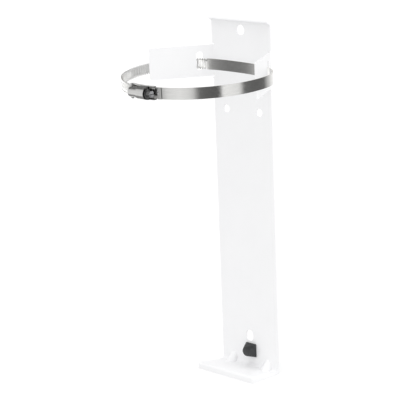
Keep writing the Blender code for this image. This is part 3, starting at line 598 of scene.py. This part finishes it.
def model_cell():
    """A slot drawn from a circle, with a rectangle of strip extruded round it."""
    clear_selection()
    bpy.ops.mesh.primitive_circle_add(vertices=SLOT_CORNERS, radius=SLOT_WIDTH / 2,
                                      rotation=(math.pi / 2, 0, 0))
    cell = bpy.context.object
    bpy.ops.object.transform_apply(location=False, rotation=True, scale=False)
    bpy.ops.object.mode_set(mode="EDIT")
    bpy.ops.mesh.select_all(action="SELECT")
    half_step = math.pi / SLOT_CORNERS  # so that no corner is at mid height
    bpy.ops.transform.rotate(value=half_step, orient_axis="Y", center_override=(0, 0, 0))
    for side in (1, -1):
        shape = bmesh.from_edit_mesh(cell.data)
        for vert in shape.verts:
            vert.select_set(vert.co.z * side > 0)
        shape.select_flush(True)
        bmesh.update_edit_mesh(cell.data)
        bpy.ops.transform.translate(value=(0, 0, side * (SLOT_LENGTH - SLOT_WIDTH) / 2))
    bpy.ops.mesh.select_all(action="SELECT")
    bpy.ops.transform.rotate(value=SLOT_SLANT, orient_axis="Y", center_override=(0, 0, 0))
    bpy.ops.mesh.extrude_edges_move()
    shape = bmesh.from_edit_mesh(cell.data)
    ring = [vert for vert in shape.verts if vert.select]
    for side in (1, -1):
        half = sorted((v for v in ring if v.co.x * side > 0), key=lambda v: v.co.z)
        for vert, level in zip(half, LEVELS):
            vert.co = (side * SLOT_PITCH / 2, 0, level)
    bmesh.update_edit_mesh(cell.data)
    bpy.ops.object.mode_set(mode="OBJECT")
    return cell


def model_plain(start, end):
    """A plain stretch of strip with edges at the same levels as the slotted cell."""
    clear_selection()
    steps = max(2, round((end - start) / PLAIN_STEP))
    bpy.ops.mesh.primitive_grid_add(x_subdivisions=steps, y_subdivisions=len(LEVELS) - 1, size=1,
                                    rotation=(math.pi / 2, 0, 0))
    plain = bpy.context.object
    bpy.ops.object.transform_apply(location=False, rotation=True, scale=False)
    for vert in plain.data.vertices:
        level = round((vert.co.z + 0.5) * (len(LEVELS) - 1))
        vert.co = (start + (vert.co.x + 0.5) * (end - start), 0, LEVELS[level])
    return plain


slots = round(SLOTTED_LENGTH / SLOT_PITCH)
slotted_start = strap_length - SLOTTED_END - slots * SLOT_PITCH
slotted = model_cell()
add_modifier(slotted, "ARRAY", count=slots, use_relative_offset=False, use_constant_offset=True,
             constant_offset_displace=(SLOT_PITCH, 0, 0), use_merge_vertices=True,
             merge_threshold=STRIP_MERGE)
slotted.data.transform(Matrix.Translation((slotted_start + SLOT_PITCH / 2, 0, 0)))
strap = pick(model_plain(0, slotted_start))
tail = model_plain(strap_length - SLOTTED_END, strap_length)
for stretch in (slotted, tail):
    stretch.select_set(True)
strap.select_set(True)
bpy.context.view_layer.objects.active = strap
bpy.ops.object.join()
in_edit(strap, lambda: bpy.ops.mesh.remove_doubles(threshold=STRIP_MERGE),
        lambda: bpy.ops.mesh.normals_make_consistent(inside=False))
print(slots, "slots from", round(slotted_start * 1000, 1), "mm")

# %% [markdown]
# The finish runs along the strip, so we write the flat places into a UV map before the strip is bent.
# A pattern that reads this map then follows the strap round its loop. The bent strap is hidden from
# diffuse rays: the dark bands that it mirrors are there for the eye, and not to dim the sheet.

# %% Bend and thicken the strap
STRIP_EDGE = 0.00012
flat_map = strap.data.uv_layers.new(name="along_strip")
for loop in strap.data.loops:
    place = strap.data.vertices[loop.vertex_index].co
    flat_map.data[loop.index].uv = (place.x, place.z)
add_modifier(strap, "CURVE", object=strap_route, deform_axis="POS_X")
add_modifier(strap, "SOLIDIFY", thickness=BAND_THICKNESS, offset=0, use_even_offset=True)
bpy.data.objects.remove(strap_route, do_unlink=True)
round_edges(strap, STRIP_EDGE, angle=50)
strap.data.transform(strap_place)
settle(strap, "strap")
strap.visible_diffuse = False
report(strap)

# %% Stainless strip
CUT_FACE = 0.5  # least share of a face's normal that is across the strip, where it is a cut edge
steel, tree, shader = new_material("stainless_strip", (0.66, 0.655, 0.64), 0.16, 1.0)
along = tree.nodes.new("ShaderNodeUVMap")
along.uv_map = "along_strip"
brushed = use_group(tree, brushing, Vector=along.outputs["UV"], Scale=1500.0, Stretch=0.03)
steel_tint = blend_colours(tree, brushed.outputs["Lines"], (0.60, 0.60, 0.59), (0.74, 0.735, 0.72))
patchy = add_range(tree, brushed.outputs["Patches"], 0, 1, 0.10, 0.20)
link_nodes(tree, (steel_tint, shader.inputs["Base Color"]), (patchy, shader.inputs["Roughness"]))
add_bump(tree, shader, brushed.outputs["Lines"], 0.10, 0.00002)
cut_steel, tree, shader = new_material("stainless_cut_edge", (0.78, 0.75, 0.69), 0.32, 1.0)
shear_marks = use_group(tree, grain, Vector=object_place(tree), Scale=2600.0)
sheared = add_range(tree, shear_marks.outputs["Height"], 0.3, 0.7, 0.24, 0.42)
link_nodes(tree, (sheared, shader.inputs["Roughness"]))
add_bump(tree, shader, shear_marks.outputs["Height"], 0.2, 0.00003)
strap.data.materials.append(steel)
strap.data.materials.append(cut_steel)
across_strap = strap_place.to_3x3() @ Vector((0, 0, 1))
for face in strap.data.polygons:
    face.material_index = 1 if abs(face.normal.dot(across_strap)) > CUT_FACE else 0
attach(strap, "bracket")
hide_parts("strap_band")
print("materials", steel.name, cut_steel.name)

# %% [markdown]
# ## The buckle
#
# A saddle under both layers of the strap carries a pin, and a pressed housing swings on that pin with
# the worm screw inside. These are small pressings, so what makes them look real is the rounded edge of
# each cut and the change of brightness over each curve. The CAD nodes have the right forms: merged
# copies get their edges rounded. The block's end and the sides of the screw's head get painted shade:
# a dull dark steel on faces picked by their direction, darker than the lights alone leave them.

# %% Buckle steel
buckle_steel, tree, shader = new_material("buckle_steel", (0.62, 0.62, 0.61), 0.24, 1.0)
pressed = use_group(tree, grain, Vector=object_place(tree), Scale=900.0)
pressed_tint = blend_colours(tree, pressed.outputs["Clouds"],
                             (0.56, 0.56, 0.555), (0.70, 0.695, 0.68))
clouded = add_range(tree, pressed.outputs["Clouds"], 0, 1, 0.20, 0.32)
link_nodes(tree, (pressed_tint, shader.inputs["Base Color"]), (clouded, shader.inputs["Roughness"]))
add_bump(tree, shader, pressed.outputs["Height"], 0.12, 0.00003)
zinc, tree, shader = new_material("zinc_plate", (0.60, 0.61, 0.63), 0.26, 1.0)
plated = use_group(tree, grain, Vector=object_place(tree), Scale=1300.0)
zinc_tint = blend_colours(tree, plated.outputs["Clouds"], (0.52, 0.53, 0.56), (0.70, 0.70, 0.69))
grainy = add_range(tree, plated.outputs["Height"], 0.3, 0.7, 0.20, 0.34)
link_nodes(tree, (zinc_tint, shader.inputs["Base Color"]), (grainy, shader.inputs["Roughness"]))
add_bump(tree, shader, plated.outputs["Height"], 0.15, 0.00003)
# painted shade: a dark steel that stands in for the shade on the block's end and the screw head's
# sides
painted_shade_steel, tree, shader = new_material("painted_shade_steel", (0.20, 0.20, 0.20), 0.36, 1.0)
cast = use_group(tree, grain, Vector=object_place(tree), Scale=1500.0)
painted_shade_tint = blend_colours(tree, cast.outputs["Clouds"], (0.14, 0.14, 0.142), (0.24, 0.24, 0.235))
link_nodes(tree, (painted_shade_tint, shader.inputs["Base Color"]))
add_bump(tree, shader, cast.outputs["Height"], 0.2, 0.00004)
print("materials", buckle_steel.name, zinc.name, painted_shade_steel.name)

# %% Buckle pieces
# These pick the faces that get the painted shade.
HEAD_START = 0.0132  # the screw's head is right of this X
END_FACE = 0.7       # least X of the normal of a face that looks to the right


def darken(piece, test):
    """Gives painted shade, the second and darker steel, to the faces that pass a test."""
    piece.data.materials.append(painted_shade_steel)
    for face in piece.data.polygons:
        face.material_index = 1 if test(face) else 0


for node, name, body, finish, slot_name, edge in (
        ("saddle", "buckle_saddle", "bracket", buckle_steel, "stainless", 0.00014),
        ("swivel_housing", "buckle_housing", "housing", buckle_steel, "stainless", 0.00018),
        ("worm_screw", "tightening_screw", "screw", zinc, "zinc_plate", 0.00010),
        ("pivot_pin", "buckle_pin", "bracket", zinc, "zinc_plate", 0.00012)):
    piece = copy_node(node, name)
    round_edges(piece, edge, angle=40)
    piece.data.materials.append(finish)
    # painted shade on the housing's end face and on the sides of the screw's head
    if node == "swivel_housing":
        darken(piece, lambda face: face.normal.x > END_FACE)
    if node == "worm_screw":
        darken(piece, lambda face: face.center.x > HEAD_START and face.normal.x < END_FACE)
    settle(piece, name)
    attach(piece, body)
    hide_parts(node)
    report(piece)

# %% [markdown]
# ## The rubber bumper
#
# The bumper keeps the cylinder off the plate. It is moulded rubber: a square flange that draws in to a
# round nose, with a stem pushed into the plate. A mould can't hold a sharp edge for long, so the
# copy of the node gets a wider bevel than the steel has, and its skin a fine soft grain.

# %% Bumper
RUBBER_EDGE = 0.0003
bumper = copy_node("rubber_bumper", "rubber_bumper_block")
rubber, tree, shader = new_material("moulded_rubber", (0.035, 0.036, 0.038), 0.55)
mould = use_group(tree, grain, Vector=object_place(tree), Scale=1100.0)
rubber_tint = blend_colours(tree, mould.outputs["Clouds"],
                            (0.026, 0.027, 0.029), (0.050, 0.051, 0.054))
dull = add_range(tree, mould.outputs["Clouds"], 0, 1, 0.48, 0.66)
link_nodes(tree, (rubber_tint, shader.inputs["Base Color"]), (dull, shader.inputs["Roughness"]))
add_bump(tree, shader, mould.outputs["Height"], 0.35, 0.00008)
round_edges(bumper, RUBBER_EDGE, angle=40)
bumper.data.materials.append(rubber)
settle(bumper, "rubber_bumper_block")
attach(bumper, "bracket")
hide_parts("rubber_bumper")
report(bumper)
